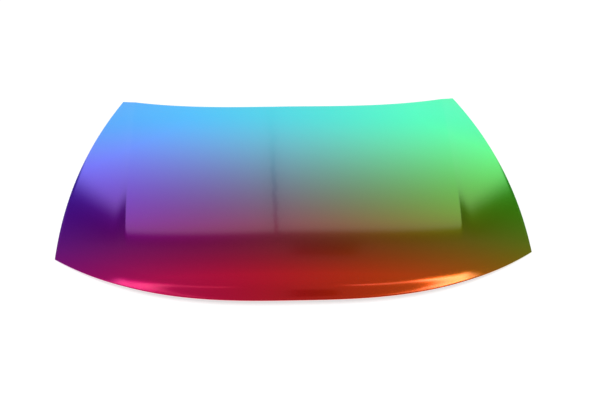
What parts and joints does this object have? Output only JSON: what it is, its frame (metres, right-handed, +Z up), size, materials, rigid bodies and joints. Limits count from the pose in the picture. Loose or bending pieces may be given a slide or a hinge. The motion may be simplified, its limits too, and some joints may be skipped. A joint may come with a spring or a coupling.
{
  "type": "car bonnet",
  "caption": "Car bonnet: a painted steel skin hemmed round a ribbed inner frame, with striker, rubber stops and a prop rod bush underneath.",
  "frame": {"origin": "middle of the bounding box, level with the lowest point of the folded edge that the bonnet lies on", "axes": "+X to the side that is on the right in a view from the nose, across the car; -Y towards the nose; +Z up, out of the painted side"},
  "size_m": [1.446, 0.9815, 0.0773],
  "materials": {
    "body_paint": null,
    "frame_primer": "satin dark primer",
    "zinc_plate": "zinc plated, satin",
    "stop_rubber": "matt",
    "bush_plastic": "matt",
    "mastic": "matt",
    "sealer": "satin"
  },
  "bodies": {
    "root": {"outer_skin": "body_paint", "inner_frame": "frame_primer", "hinge_plate_left": "frame_primer", "hinge_plate_right": "frame_primer", "hinge_nut_left_front": "zinc_plate", "hinge_nut_left_rear": "zinc_plate", "hinge_nut_right_front": "zinc_plate", "hinge_nut_right_rear": "zinc_plate", "latch_plate": "frame_primer", "latch_nut_left": "zinc_plate", "latch_nut_right": "zinc_plate", "striker_plate": "zinc_plate", "striker_loop": "zinc_plate", "striker_bolt_left": "zinc_plate", "striker_bolt_right": "zinc_plate", "rubber_stop_left": "stop_rubber", "rubber_stop_right": "stop_rubber", "side_pad_left": "stop_rubber", "side_pad_right": "stop_rubber", "prop_rod_bush": "bush_plastic", "skin_stiffener": "frame_primer", "mastic_bead_left_1": "mastic", "mastic_bead_left_2": "mastic", "mastic_bead_left_3": "mastic", "mastic_bead_left_4": "mastic", "mastic_bead_right_1": "mastic", "mastic_bead_right_2": "mastic", "mastic_bead_right_3": "mastic", "mastic_bead_right_4": "mastic", "hem_sealer": "sealer"}
  },
  "joints": []
}
